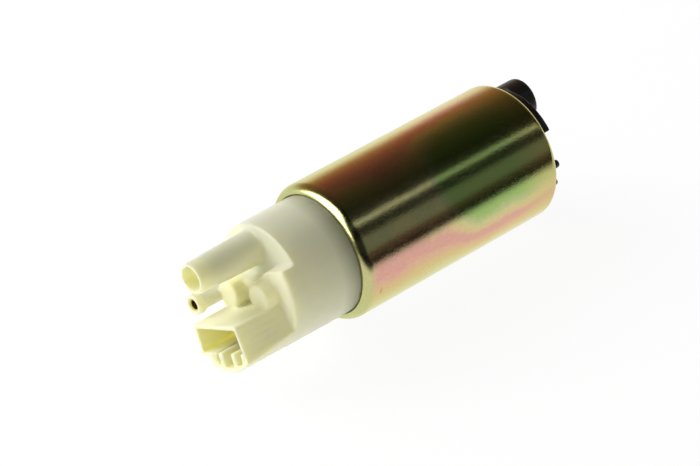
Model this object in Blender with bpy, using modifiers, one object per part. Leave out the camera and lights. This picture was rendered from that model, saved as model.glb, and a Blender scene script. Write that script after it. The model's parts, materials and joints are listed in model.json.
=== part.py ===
# In-tank electric fuel pump, laid on its side as it would rest on a bench.
#
# The pump is drawn in its own frame and then laid down: z runs along the shaft towards the fuel
# outlet and is 0 at the outlet end of the can, +y points at the outlet spigot, and the electrical
# socket is on the -y side. All sizes are in metres.
import math

import bmesh
import bpy
from mathutils import Matrix

# Clearances
GAP = 0.0003                  # between pieces that seat on each other
FIT_GAP = 0.0002              # round a small piece pressed into its bore
RUNNING_GAP = 0.0004          # round and beside what turns
OVERLAP = 0.0006              # how far joined shapes run into each other
REACH = 0.004                 # how far a cutter runs past the face that it opens

# How the pump lies: the spigot leans this far over from straight up
ROLL_DEG = 28.3

# Smoothness of round pieces
CAN_SIDES = 40
LARGE_SIDES = 40
MIDDLE_SIDES = 24
SMALL_SIDES = 16
TINY_SIDES = 8
EDGE_SIDES = 12               # of the circles that rounded edges are quarters of
SMOOTH_DEG = 35.0             # a sharper turn than this stays an edge
WELD = 0.00001                # points closer than this become one

# Steel can
CAN_RADIUS = 0.0190
CAN_LENGTH = 0.0685
CAN_WALL = 0.0014
OUTLET_ROLL = 0.0028          # radius of the edge rolled in over the outlet cap
INLET_ROLL = 0.0023           # radius of the edge rolled in over the inlet cover
CAN_LIP = 0.0023              # how far both rolled edges reach in from the can's side

# Outlet cap: the drum that stands out of the can
DRUM_LIP_GAP = 0.0002         # between the drum and the can's lip
DRUM_DRAFT = 0.0001
PLATFORM_Z = 0.0217           # upper level of the drum's end
CRESCENT_Z = 0.0176           # lower level of the drum's end, round the spigot
DRUM_EDGE = 0.0008            # radius of its rounded rim
STEP_SETBACK = 0.0049         # from the spigot's axis back to where the lower level starts
STEP_RUN_OUT = 0.0003         # the step has moved back this far at the drum's edge
STEP_HALF_WIDTH = 0.0086      # half the width of the recess at the spigot's foot
RECESS_SETBACK = 0.0074       # from the spigot's axis back to the recess behind it
RECESS_HALF_WIDTH = 0.0029
CEILING_DEPTH = 0.0117        # from the can's end down to the roof of the motor chamber
SKIRT_DEPTH = 0.0187          # from the can's end down to the foot of the cap's skirt
SKIRT_WALL = 0.0039
CAP_SEAL_DEPTH = 0.0062

# Fuel outlet spigot and its check valve
SPIGOT_X = 0.0002
SPIGOT_RIM = 0.00155          # from the spigot's root out to the drum's side
SPIGOT_ROOT_RADIUS = 0.00475
SPIGOT_TIP_RADIUS = 0.00425
SPIGOT_TIP_Z = 0.0378
SPIGOT_FILLET = 0.0006
SPIGOT_EDGE = 0.0004
SPIGOT_BORE = 0.0034
VALVE_SEAT_Z = 0.0200
OUTLET_PASSAGE = 0.0019
POPPET_HEAD = 0.0016
POPPET_CONE = 0.0009
STEM_RADIUS = 0.0007
GUIDE_Z = 0.0312
GUIDE_THICKNESS = 0.0020
GUIDE_HOLE = 0.0005
GUIDE_HOLES = 4
CHECK_SPRING_TURNS = 5

# Round bosses on the platform, over the brush wells
BOSS_PLACES = ((0.0070, -0.0004), (-0.0059, 0.0002))
BOSS_RADIUS = 0.00385
BOSS_TOP_Z = 0.0255
BOSS_EDGE = 0.0007

# Relief nipple
NIPPLE_RIM = 0.0023           # from the nipple's collar out to the drum's side
NIPPLE_Y = 0.00055
NIPPLE_RADIUS = 0.0023
COLLAR_RADIUS = 0.0029
COLLAR_Z = 0.0305
NIPPLE_TIP_Z = 0.0329
NIPPLE_BORE = 0.00175
RELIEF_SEAT_Z = 0.0160
RELIEF_PASSAGE = 0.00075
RELIEF_BALL = 0.0012
SLEEVE_BORE = 0.0013
SLEEVE_LENGTH = 0.0070
SLEEVE_RECESS = 0.0006
RELIEF_SPRING_TURNS = 5

# Electrical socket
SHROUD_TOP_Y = -0.0033
SHROUD_TIP_X = 0.0089         # right wall at the socket's mouth
SHROUD_ROOT_X = 0.0104        # its upper edge where it leaves the drum
SHROUD_ROOT_CORNER_X = 0.01235    # its lower edge there
SHROUD_LEFT_X = -0.0100
SHROUD_LEAN = 0.0007          # the left wall leans out by this much
SHROUD_INSET = 0.00018        # its outer wall stands this far inside the drum's side
SHROUD_STEPS = 8              # flats of the round wall
SHROUD_TWIST_STEPS = 5        # strips of the right wall, which twists a little
SHROUD_EDGE = 0.0008          # radius of the upper right edge
SHROUD_STEP_X = -0.0073       # where the left corner steps up from the round wall
SHROUD_Z = 0.0357
SHROUD_WALL = 0.0012
SOCKET_FLOOR_Z = 0.0196
KEY_REACH = 0.00512           # how far the ribs stand in from the outside of the round wall
KEY_SETBACK = 0.0004
SOCKET_KEYS = ((-0.0066, 0.0018), (-0.0040, 0.0020), (0.0015, 0.0019), (0.0058, 0.0014))
TERMINAL_X = 0.0042
TERMINAL_SETBACK = 0.00732    # from the outside of the round wall in to the blades
TERMINAL_WIDTH = 0.0028
TERMINAL_THICKNESS = 0.0008
TERMINAL_TIP_Z = 0.0266
TERMINAL_TAPER = 0.0010

# Suppression chokes, each in a pocket behind its terminal
CHOKE_POCKET = 0.0026
CHOKE_TOP_Z = 0.0120          # roof of the pocket
CHOKE_LENGTH = 0.0180
CHOKE_CORE = 0.0012
CHOKE_WIRE = 0.00035
CHOKE_COIL = 0.00190
CHOKE_TURNS = 6
TERMINAL_TAIL = 0.0009        # how far the terminal reaches into the pocket

# Coils
SPRING_WIRE = 0.0002          # half the thickness of the springs' wire
COIL_STEPS = 8                # straight pieces in each turn

# Brush gear
BRUSH_X = 0.0072
BRUSH_SIDE = 0.0038
BRUSH_LENGTH = 0.0095
BRUSH_NUB_RADIUS = 0.0008
BRUSH_NUB = 0.0010
WELL_TOP_Z = 0.0100
BRUSH_SPRING_RADIUS = 0.0014
BRUSH_SPRING_TURNS = 5
LEAD_RADIUS = 0.00045
LEAD_STEPS = 8
LEAD_SLOT = 0.0015
LEAD_SLOT_HEIGHT = 0.0046
LEAD_DROP = 0.0010            # height of the lead's joint above the chamber's roof

# Shaft, bushes and what holds their ends
SHAFT_RADIUS = 0.0020
SHAFT_HEAD = 0.0016           # shaft above the upper bush
SHAFT_NOSE = 0.0017           # shaft below the impeller
SHAFT_EDGE = 0.0003
SHAFT_FLAT = 0.0014           # from the axis to the flat that drives the impeller
BUSH_RADIUS = 0.0034
BUSH_LENGTH = 0.0060
BUSH_EDGE = 0.0004
WASHER_RADIUS = 0.0032
WASHER_THICKNESS = 0.0007
THRUST_BALL = 0.0015

# Armature
COMMUTATOR_DROP = 0.0013      # from the chamber's roof down to the commutator's face
COMMUTATOR_RADIUS = 0.0098
COMMUTATOR_HEIGHT = 0.0040
COMMUTATOR_HUB = 0.0048
COMMUTATOR_SLOT = 0.0006
COMMUTATOR_SLOT_DEPTH = 0.0010
AIR_GAP = 0.0007              # between the core and the magnets
CORE_SLOTS = 8
SLOT_MOUTH = 0.0008           # half widths of a slot at its mouth, shoulder and foot
SLOT_SHOULDER = 0.0022
SLOT_FOOT = 0.0010
TOOTH_TIP = 0.0011            # from the core's face in to the end of the slot's mouth
TOOTH_SHOULDER = 0.0006       # and from there in to the slot's full width
CORE_HUB_SHARE = 1 / 3        # of the iron between the shaft and the core's face, below the slots
HEAD_HEIGHT = 0.0036
HEAD_EDGE = 0.0012

# Magnets and the clips between them
MAGNET_THICKNESS = 0.0050
MAGNET_SPAN_DEG = 122.0
CLIP_THICKNESS = 0.0005
CLIP_LEG = 0.0032
CLIP_SETBACK = 0.0033         # from each end of the magnets in to the clips' ends

# Pump section
COVER_DEPTH = 0.0070          # cover inside the can
RING_THICKNESS = 0.0042
BODY_THICKNESS = 0.0069
BODY_EDGE = 0.0003
RING_WALL = 0.0023
VANE_LENGTH = 0.0027
VANE_COUNT = 26
VANE_THICKNESS = 0.0008
WEB_THICKNESS = 0.0010
CHANNEL_MARGIN = 0.0001       # the channels are narrower than the vanes by this, on each side
CHANNEL_DEPTH = 0.0014
CHANNEL_START_DEG = 62.0
CHANNEL_END_DEG = 378.0
PORT_RADIUS = 0.0014
INLET_PORT_DEG = 88.0
OUTLET_PORT_DEG = 10.0
COVER_SEAL_DEPTH = 0.0022     # from the cover's inner face to the middle of its seal

# Seals
SEAL_WIRE = 0.00085
SEAL_GROOVE_SLACK = 0.0003
SEAL_SIDES = 28
SEAL_WIRE_SIDES = 6

# Inlet cover outside the can
COVER_SUNK = 0.0004           # its low face lies this far inside the can's end
PAD_HEIGHT = 0.0030           # raised pad beyond the can's end, on the neck's side
PAD_SETBACK = 0.00675         # from the neck's axis back to the pad's edge
NECK_X = 0.0002
NECK_LIP_GAP = 0.00005        # between the neck and the can's lip
NECK_RADIUS = 0.0059
NECK_REACH = 0.0095           # beyond the can's end
NECK_BORE = 0.0043
NECK_EDGE = 0.0005
NECK_FLOOR = 0.0030           # thickness left under the neck's bore
PEG_RADIUS = 0.0012
PEG_MARGIN = 0.0001           # from the pegs out to the cover's side
PEG_ANGLES_DEG = (-20.4, -43.0)

# Values that follow from the ones above
BORE = CAN_RADIUS - CAN_WALL
INNER_RADIUS = BORE - GAP
LIP_RADIUS = CAN_RADIUS - CAN_LIP
DRUM_RADIUS = LIP_RADIUS - DRUM_LIP_GAP
COVER_RADIUS = LIP_RADIUS - GAP
INLET_END = -CAN_LENGTH
CEILING_Z = -CEILING_DEPTH
SKIRT_Z = -SKIRT_DEPTH
CHAMBER_RADIUS = INNER_RADIUS - SKIRT_WALL
SPIGOT_Y = DRUM_RADIUS - SPIGOT_RIM - SPIGOT_ROOT_RADIUS
STEP_Y = SPIGOT_Y - STEP_SETBACK
RECESS_Y = SPIGOT_Y - RECESS_SETBACK
NIPPLE_X = -(DRUM_RADIUS - NIPPLE_RIM - COLLAR_RADIUS)
SHROUD_RADIUS = DRUM_RADIUS - SHROUD_INSET
KEY_TOP_Y = -(SHROUD_RADIUS - KEY_REACH)
TERMINAL_Y = -(SHROUD_RADIUS - TERMINAL_SETBACK)
COVER_FACE_Z = INLET_END + COVER_DEPTH
RING_BOTTOM_Z = COVER_FACE_Z + GAP
RING_TOP_Z = RING_BOTTOM_Z + RING_THICKNESS
BODY_BOTTOM_Z = RING_TOP_Z + GAP
BODY_TOP_Z = BODY_BOTTOM_Z + BODY_THICKNESS
MAGNET_BOTTOM_Z = BODY_TOP_Z + GAP
MAGNET_TOP_Z = SKIRT_Z - GAP
CORE_RADIUS = INNER_RADIUS - MAGNET_THICKNESS - AIR_GAP
SLOT_MOUTH_RADIUS = CORE_RADIUS - TOOTH_TIP
SLOT_SHOULDER_RADIUS = SLOT_MOUTH_RADIUS - TOOTH_SHOULDER
SLOT_FOOT_RADIUS = SHAFT_RADIUS + CORE_HUB_SHARE * (CORE_RADIUS - SHAFT_RADIUS)
IMPELLER_RADIUS = INNER_RADIUS - RING_WALL - RUNNING_GAP
VANE_ROOT_RADIUS = IMPELLER_RADIUS - VANE_LENGTH
CHANNEL_INNER = VANE_ROOT_RADIUS + CHANNEL_MARGIN
CHANNEL_OUTER = IMPELLER_RADIUS - CHANNEL_MARGIN
PORT_PITCH = (CHANNEL_INNER + CHANNEL_OUTER) / 2
COMMUTATOR_Z = CEILING_Z - COMMUTATOR_DROP
COMMUTATOR_FOOT_Z = COMMUTATOR_Z - COMMUTATOR_HEIGHT
CORE_TOP_Z = COMMUTATOR_FOOT_Z - HEAD_HEIGHT - 2 * GAP
CORE_BOTTOM_Z = BODY_TOP_Z + RUNNING_GAP + HEAD_HEIGHT + GAP
UPPER_BUSH_Z = CEILING_Z + GAP
SHAFT_TOP_Z = UPPER_BUSH_Z + BUSH_LENGTH + SHAFT_HEAD
SHAFT_BOTTOM_Z = COVER_FACE_Z - SHAFT_NOSE
LOWER_BUSH_TOP_Z = BODY_TOP_Z - GAP
BALL_Z = SHAFT_BOTTOM_Z - GAP - THRUST_BALL
BRUSH_FACE_Z = COMMUTATOR_Z + GAP
BRUSH_TOP_Z = BRUSH_FACE_Z + BRUSH_LENGTH
LEAD_START_Y = -BRUSH_SIDE / 2 - FIT_GAP
COVER_LOW_Z = INLET_END + COVER_SUNK
PAD_Z = INLET_END - PAD_HEIGHT
NECK_END_Z = INLET_END - NECK_REACH
NECK_Y = LIP_RADIUS - NECK_LIP_GAP - NECK_RADIUS
PAD_Y = NECK_Y - PAD_SETBACK
PEG_PITCH = COVER_RADIUS - PEG_MARGIN - PEG_RADIUS
MIDDLE_Z = (SPIGOT_TIP_Z + NECK_END_Z) / 2

# Colour, roughness and metallic value of each material
MATERIALS = {
    "zinc_chromate": ((0.55, 0.47, 0.20), 0.22, 1.0),
    "cream_acetal": ((0.83, 0.84, 0.60), 0.38, 0.0),
    "black_plastic": ((0.018, 0.016, 0.016), 0.42, 0.0),
    "grey_plastic": ((0.22, 0.22, 0.22), 0.5, 0.0),
    "steel": ((0.60, 0.60, 0.62), 0.28, 1.0),
    "laminations": ((0.35, 0.35, 0.37), 0.45, 1.0),
    "copper": ((0.80, 0.42, 0.25), 0.30, 1.0),
    "brass": ((0.75, 0.60, 0.28), 0.30, 1.0),
    "bronze": ((0.52, 0.38, 0.22), 0.50, 1.0),
    "ferrite": ((0.09, 0.09, 0.10), 0.70, 0.0),
    "carbon": ((0.05, 0.05, 0.055), 0.60, 0.0),
    "rubber": ((0.02, 0.02, 0.02), 0.75, 0.0),
    "nylon": ((0.78, 0.76, 0.68), 0.45, 0.0),
}


def clear_scene():
    for old in list(bpy.data.objects):
        bpy.data.objects.remove(old, do_unlink=True)


def new_collection(name):
    made = bpy.data.collections.new(name)
    bpy.context.scene.collection.children.link(made)
    return made


def new_material(name):
    colour, roughness, metallic = MATERIALS[name]
    made = bpy.data.materials.get(name) or bpy.data.materials.new(name)
    made.use_nodes = True
    shader = made.node_tree.nodes["Principled BSDF"]
    shader.inputs["Base Color"].default_value = (*colour, 1.0)
    shader.inputs["Roughness"].default_value = roughness
    shader.inputs["Metallic"].default_value = metallic
    return made


clear_scene()
PIECES = new_collection("fuel_pump")
CUTTERS = new_collection("cutters")
LAID_DOWN = bpy.data.objects.new("laid_down", None)
PIECES.objects.link(LAID_DOWN)
LAID_DOWN.matrix_world = (
    Matrix.Translation((MIDDLE_Z, 0.0, 0.0))
    @ Matrix.Rotation(math.radians(-90.0), 4, "Y")
    @ Matrix.Rotation(math.radians(ROLL_DEG - 90.0), 4, "Z")
)


def place(made, material=None, parent=LAID_DOWN):
    """Put an object in the pump's frame, as a piece if it has a material and else as a cutter."""
    (PIECES if material else CUTTERS).objects.link(made)
    made.parent = parent
    if material:
        made.data.materials.append(new_material(material))
    else:
        made.hide_render = True
        made.display_type = "WIRE"
    return made


def smooth(made):
    made.data.shade_smooth()
    made.data.set_sharp_from_angle(angle=math.radians(SMOOTH_DEG))
    return made


def turned(name, profile, sides, material=None, closed=False, at=(0.0, 0.0)):
    """Turn a profile of (radius, z) points, given down its outer side, round the z axis."""
    mesh = bpy.data.meshes.new(name)
    ends = [(i, i + 1) for i in range(len(profile) - 1)]
    if closed:
        ends.append((len(profile) - 1, 0))
    mesh.from_pydata([(r, 0.0, z) for r, z in profile], ends, [])
    made = place(bpy.data.objects.new(name, mesh), material)
    made.location = (at[0], at[1], 0.0)
    screw = made.modifiers.new("turn", "SCREW")
    screw.axis = "Z"
    screw.steps = screw.render_steps = sides
    screw.use_merge_vertices = True
    screw.merge_threshold = WELD
    screw.use_smooth_shade = True
    return made


def off_corner(cutter, sides):
    """Turn a round cutter a little, so that its corners miss those of a round piece with the same axis."""
    cutter.rotation_euler.z = math.pi / (2 * sides)
    return cutter


def primitive(name, create, material, **sizes):
    """An object made by one of bmesh's own solids."""
    mesh = bpy.data.meshes.new(name)
    work = bmesh.new()
    create(work, **sizes)
    work.to_mesh(mesh)
    work.free()
    return place(bpy.data.objects.new(name, mesh), material)


def cylinder(name, radius, bottom, top, sides, material=None, at=(0.0, 0.0)):
    made = primitive(name, bmesh.ops.create_cone, material, cap_ends=True, segments=sides,
                     radius1=radius, radius2=radius, depth=top - bottom)
    made.location = (at[0], at[1], (top + bottom) / 2)
    return smooth(made)


def hole(name, radius, bottom, top, sides, at=(0.0, 0.0)):
    """Cutter for a plain round hole."""
    return off_corner(cylinder(name, radius, bottom, top, sides, at=at), sides)


def ball(name, radius, centre, material):
    made = primitive(name, bmesh.ops.create_uvsphere, material, u_segments=SMALL_SIDES,
                     v_segments=TINY_SIDES, radius=radius)
    made.location = centre
    return smooth(made)


def block(name, centre, size, material=None, turn_deg=0.0):
    """A box, turned about the z axis through its centre."""
    made = primitive(name, bmesh.ops.create_cube, material, size=1.0, matrix=Matrix.Diagonal((*size, 1.0)))
    made.location = centre
    made.rotation_euler.z = math.radians(turn_deg)
    return made


def seal_ring(name, radius, height):
    """Ring of round rubber cord, this far from the axis at the middle of the cord."""
    bpy.ops.mesh.primitive_torus_add(major_radius=radius, minor_radius=SEAL_WIRE,
                                     major_segments=SEAL_SIDES, minor_segments=SEAL_WIRE_SIDES)
    made = bpy.context.object
    made.name = made.data.name = name
    for collection in made.users_collection:
        collection.objects.unlink(made)
    place(made, "rubber")
    made.location = (0.0, 0.0, height)
    made.data.shade_smooth()


def as_mesh(curve_object):
    """Swap a curve object for a mesh one with its caps welded, so that it can be cut or cut with."""
    name, matrix, curve = curve_object.name, curve_object.matrix_world.copy(), curve_object.data
    graph = bpy.context.evaluated_depsgraph_get()
    mesh = bpy.data.meshes.new_from_object(curve_object.evaluated_get(graph))
    work = bmesh.new()
    work.from_mesh(mesh)
    bmesh.ops.remove_doubles(work, verts=work.verts, dist=WELD)
    bmesh.ops.recalc_face_normals(work, faces=work.faces)
    work.to_mesh(mesh)
    work.free()
    bpy.data.objects.remove(curve_object)
    bpy.data.curves.remove(curve)
    made = bpy.data.objects.new(name, mesh)
    made.matrix_world = matrix
    return made


def plate(name, outlines, bottom, top, material=None):
    """Extrude one outline, or several side by side, from one height to another."""
    curve = bpy.data.curves.new(name, "CURVE")
    curve.dimensions = "2D"
    curve.fill_mode = "BOTH"
    curve.extrude = (top - bottom) / 2
    for outline in outlines:
        spline = curve.splines.new("POLY")
        spline.points.add(len(outline) - 1)
        for point, (x, y) in zip(spline.points, outline):
            point.co = (x, y, 0.0, 1.0)
        spline.use_cyclic_u = True
    flat = bpy.data.objects.new(name, curve)
    bpy.context.scene.collection.objects.link(flat)
    made = place(as_mesh(flat), material)
    made.location = (0.0, 0.0, (top + bottom) / 2)
    return made


def loft(name, lower, upper, bottom, top):
    """A solid between two unlike outlines with as many points each, one at the bottom and one on top."""
    mesh = bpy.data.meshes.new(name)
    work = bmesh.new()
    low_ring = [work.verts.new((x, y, bottom)) for x, y in lower]
    high_ring = [work.verts.new((x, y, top)) for x, y in upper]
    for i in range(len(lower)):
        work.faces.new((low_ring[i - 1], low_ring[i], high_ring[i], high_ring[i - 1]))
    work.faces.new(reversed(low_ring))
    work.faces.new(high_ring)
    bmesh.ops.triangulate(work, faces=work.faces)
    work.to_mesh(mesh)
    work.free()
    return place(bpy.data.objects.new(name, mesh))


def wire(name, points, radius, material, resolution):
    """A wire along a list of points. Resolution 0 gives it four sides and 1 gives it six."""
    curve = bpy.data.curves.new(name, "CURVE")
    curve.dimensions = "3D"
    curve.bevel_depth = radius
    curve.bevel_resolution = resolution
    curve.use_fill_caps = True
    spline = curve.splines.new("POLY")
    spline.points.add(len(points) - 1)
    for point, where in zip(spline.points, points):
        point.co = (*where, 1.0)
    spline.use_smooth = True
    return place(bpy.data.objects.new(name, curve), material)


def helix(name, radius, wire_radius, bottom, top, turns, material, at, resolution=0):
    """A coil of wire that just fills the height from bottom to top."""
    low, high = bottom + wire_radius, top - wire_radius
    count = turns * COIL_STEPS
    points = []
    for i in range(count + 1):
        x, y = polar(radius, 360.0 * i / COIL_STEPS, at)
        points.append((x, y, low + (high - low) * i / count))
    return wire(name, points, wire_radius, material, resolution)


def boolean(made, other, operation):
    step = made.modifiers.new(other.name, "BOOLEAN")
    step.operation = operation
    step.solver = "EXACT"
    step.object = other
    return made


def cut(made, *cutters):
    for cutter in cutters:
        boolean(made, cutter, "DIFFERENCE")
    return made


def join(made, *others):
    for other in others:
        boolean(made, other, "UNION")
    return made


def polar(radius, angle_deg, centre=(0.0, 0.0)):
    angle = math.radians(angle_deg)
    return (centre[0] + radius * math.cos(angle), centre[1] + radius * math.sin(angle))


def stepped_arc(radius, start_deg, end_deg, steps, centre=(0.0, 0.0)):
    """Points along an arc in this many steps, both ends included."""
    turn = (end_deg - start_deg) / steps
    return [polar(radius, start_deg + turn * i, centre) for i in range(steps + 1)]


def arc(radius, start_deg, end_deg, sides, centre=(0.0, 0.0)):
    """Points along an arc, both ends included, spaced as on a circle with this many sides."""
    steps = max(1, round(abs(end_deg - start_deg) * sides / 360.0))
    return stepped_arc(radius, start_deg, end_deg, steps, centre)


def spread(start, end, steps):
    """Points that divide a straight line evenly, without its two ends."""
    return [tuple(a + (b - a) * i / steps for a, b in zip(start, end)) for i in range(1, steps)]


def rounded_edge(radius, corner):
    """Quarter turn from the top of an outer edge down to its side, given the square corner."""
    return arc(radius, 90.0, 0.0, EDGE_SIDES, (corner[0] - radius, corner[1] - radius))


def mirrored(profile, about):
    """Turn a profile upside down about a height, and keep it running downwards."""
    return [(r, 2 * about - z) for r, z in reversed(profile)]


def rod_profile(radius, bottom, top, edge):
    """Profile of a solid rod with chamfered ends."""
    upper = [(0.0, top), (radius - edge, top), (radius, top - edge)]
    return upper + [(radius, bottom + edge), (radius - edge, bottom), (0.0, bottom)]


def tube_profile(outer, inner, bottom, top, edge=0.0):
    """Closed profile of a plain bush, running down its outer side."""
    side = [(outer, top), (outer, bottom)]
    if edge > 0.0:
        side = [(outer - edge, top), (outer, top - edge), (outer, bottom + edge), (outer - edge, bottom)]
    return side + [(inner, bottom), (inner, top)]


def rolled_edge(roll, depth, inner_radius):
    """Quarter turn of the can's outlet edge, this deep under its skin, out to the can's side."""
    centre = (CAN_RADIUS - roll, -roll)
    radius = roll - depth
    share = max(0.0, min(1.0, (inner_radius - centre[0]) / radius))
    points = arc(radius, math.degrees(math.acos(share)), 0.0, EDGE_SIDES, centre)
    points[0] = (inner_radius, points[0][1])
    return points


def seal_groove(middle_z):
    """Notch in a moulding's side for a ring seal, given downwards."""
    half = SEAL_WIRE + SEAL_GROOVE_SLACK
    floor = INNER_RADIUS - 2 * SEAL_WIRE - SEAL_GROOVE_SLACK
    top, bottom = middle_z + half, middle_z - half
    return [(INNER_RADIUS, top), (floor, top), (floor, bottom), (INNER_RADIUS, bottom)]


def inset(outline, distance):
    """Move every side of a closed outline inwards, for an outline that runs anticlockwise."""
    moved = []
    for i, (x, y) in enumerate(outline):
        before = outline[i - 1]
        after = outline[(i + 1) % len(outline)]
        one = (x - before[0], y - before[1])
        two = (after[0] - x, after[1] - y)
        one_length, two_length = math.hypot(*one), math.hypot(*two)
        one_in = (-one[1] / one_length, one[0] / one_length)
        two_in = (-two[1] / two_length, two[0] / two_length)
        spread = 1 + one_in[0] * two_in[0] + one_in[1] * two_in[1]
        moved.append((
            x + distance * (one_in[0] + two_in[0]) / spread,
            y + distance * (one_in[1] + two_in[1]) / spread,
        ))
    return moved


def shroud_outline(right_x, corner_x, edge):
    """Outline of the socket at one height, anticlockwise: three flat walls and one that follows the drum."""
    lean_x = SHROUD_LEFT_X - SHROUD_LEAN
    step_y = -math.sqrt(SHROUD_RADIUS ** 2 - lean_x ** 2)
    step_angle = math.degrees(math.acos(SHROUD_STEP_X / SHROUD_RADIUS))
    corner_angle = math.degrees(math.acos(corner_x / SHROUD_RADIUS))
    bottom = stepped_arc(SHROUD_RADIUS, -step_angle, -corner_angle, SHROUD_STEPS)
    upper_right = [(right_x, SHROUD_TOP_Y)]
    if edge > 0.0:
        upper_right = rounded_edge(edge, (right_x, SHROUD_TOP_Y))[::-1]
    right = spread(bottom[-1], upper_right[0], SHROUD_TWIST_STEPS)
    left = [(SHROUD_LEFT_X, SHROUD_TOP_Y), (lean_x, step_y), (SHROUD_STEP_X, step_y)]
    return upper_right + left + bottom + right


def shroud(name, edge, wall, bottom, top):
    """The socket's body, or the cutter for its inside, which both narrow towards the mouth."""
    root = shroud_outline(SHROUD_ROOT_X, SHROUD_ROOT_CORNER_X, edge)
    mouth = shroud_outline(SHROUD_TIP_X, SHROUD_TIP_X, edge)
    return loft(name, inset(root, wall), inset(mouth, wall), bottom, top)


def drum_profile():
    top_radius = DRUM_RADIUS - DRUM_DRAFT
    head = [(0.0, PLATFORM_Z)] + rounded_edge(DRUM_EDGE, (top_radius, PLATFORM_Z))
    shoulder = rolled_edge(OUTLET_ROLL, CAN_WALL + GAP, DRUM_RADIUS)
    skirt = [(INNER_RADIUS, SKIRT_Z), (CHAMBER_RADIUS, SKIRT_Z)]
    roof = [(CHAMBER_RADIUS, CEILING_Z), (0.0, CEILING_Z)]
    return head + shoulder + seal_groove(-CAP_SEAL_DEPTH) + skirt + roof


def boss_profile():
    rim = rounded_edge(BOSS_EDGE, (BOSS_RADIUS, BOSS_TOP_Z))
    return [(0.0, BOSS_TOP_Z)] + rim + [(BOSS_RADIUS, PLATFORM_Z - OVERLAP), (0.0, PLATFORM_Z - OVERLAP)]


def spigot_profile():
    root = CRESCENT_Z + SPIGOT_FILLET
    tip = [(0.0, SPIGOT_TIP_Z), (SPIGOT_TIP_RADIUS - SPIGOT_EDGE, SPIGOT_TIP_Z)]
    side = [(SPIGOT_TIP_RADIUS, SPIGOT_TIP_Z - SPIGOT_EDGE), (SPIGOT_ROOT_RADIUS, root)]
    foot_radius = SPIGOT_ROOT_RADIUS + SPIGOT_FILLET
    foot = [(foot_radius, CRESCENT_Z), (foot_radius, CRESCENT_Z - OVERLAP), (0.0, CRESCENT_Z - OVERLAP)]
    return tip + side + foot


def nipple_profile():
    collar = [(0.0, NIPPLE_TIP_Z), (COLLAR_RADIUS - FIT_GAP, NIPPLE_TIP_Z)]
    collar += [(COLLAR_RADIUS, NIPPLE_TIP_Z - FIT_GAP), (COLLAR_RADIUS, COLLAR_Z)]
    barrel = [(NIPPLE_RADIUS, COLLAR_Z), (NIPPLE_RADIUS, PLATFORM_Z - OVERLAP)]
    return collar + barrel + [(0.0, PLATFORM_Z - OVERLAP)]


def stepped_hole(name, upper, lower, step_z, bottom, top, at=(0.0, 0.0)):
    """Cutter for a round hole that has one radius above its step and another below."""
    profile = [(0.0, top), (upper, top), (upper, step_z), (lower, step_z), (lower, bottom), (0.0, bottom)]
    return off_corner(turned(name, profile, SMALL_SIDES, at=at), SMALL_SIDES)


def make_can():
    outer = rolled_edge(OUTLET_ROLL, 0.0, LIP_RADIUS)
    outer += mirrored(rolled_edge(INLET_ROLL, 0.0, LIP_RADIUS), -CAN_LENGTH / 2)
    inner = rolled_edge(OUTLET_ROLL, CAN_WALL, LIP_RADIUS)
    inner += mirrored(rolled_edge(INLET_ROLL, CAN_WALL, LIP_RADIUS), -CAN_LENGTH / 2)
    can = turned("can", outer + inner[::-1], CAN_SIDES, "zinc_chromate", closed=True)
    # turned back so that the can lies on a flat of its outline
    can.rotation_euler.z = math.radians(90.0 - ROLL_DEG) + math.pi / CAN_SIDES
    return can


def socket_keys():
    """Ribs on the inside of the socket's round wall, each rooted in the middle of that wall."""
    middle = SHROUD_RADIUS - SHROUD_WALL / 2
    keys = []
    for i, (left, width) in enumerate(SOCKET_KEYS):
        furthest = max(abs(left), abs(left + width))
        foot = -math.sqrt(middle ** 2 - furthest ** 2)
        floor, top = SOCKET_FLOOR_Z - OVERLAP, SHROUD_Z - KEY_SETBACK
        centre = (left + width / 2, (KEY_TOP_Y + foot) / 2, (floor + top) / 2)
        keys.append(block(f"socket_key_{i + 1}", centre, (width, KEY_TOP_Y - foot, top - floor)))
    return keys


def brush_gear_cutters():
    """Brush well, choke pocket, terminal slot and lead slot on one side, then on the other."""
    cutters = []
    well = BRUSH_SIDE + 2 * FIT_GAP
    slot_size = (TERMINAL_WIDTH + 2 * GAP, TERMINAL_THICKNESS + 2 * GAP)
    for i, side in enumerate((1.0, -1.0), start=1):
        brush_x, choke_x = side * BRUSH_X, side * TERMINAL_X
        well_low = CEILING_Z - REACH
        middle = (brush_x, 0.0, (well_low + WELL_TOP_Z) / 2)
        cutters.append(block(f"brush_well_{i}", middle, (well, well, WELL_TOP_Z - well_low)))
        pocket_at = (choke_x, TERMINAL_Y)
        cutters.append(
            hole(f"choke_pocket_{i}", CHOKE_POCKET, well_low, CHOKE_TOP_Z, SMALL_SIDES, pocket_at))
        low, high = CHOKE_TOP_Z - OVERLAP, SOCKET_FLOOR_Z + OVERLAP
        middle = (choke_x, TERMINAL_Y, (low + high) / 2)
        cutters.append(block(f"terminal_slot_{i}", middle, (*slot_size, high - low)))
        run = (choke_x - brush_x, TERMINAL_Y - LEAD_START_Y)
        high = CEILING_Z + LEAD_SLOT_HEIGHT
        middle = (brush_x + run[0] / 2, LEAD_START_Y + run[1] / 2, (well_low + high) / 2)
        size = (math.hypot(*run) + LEAD_SLOT, LEAD_SLOT, high - well_low)
        turn = math.degrees(math.atan2(run[1], run[0]))
        cutters.append(block(f"lead_slot_{i}", middle, size, turn_deg=turn))
    return cutters


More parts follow.
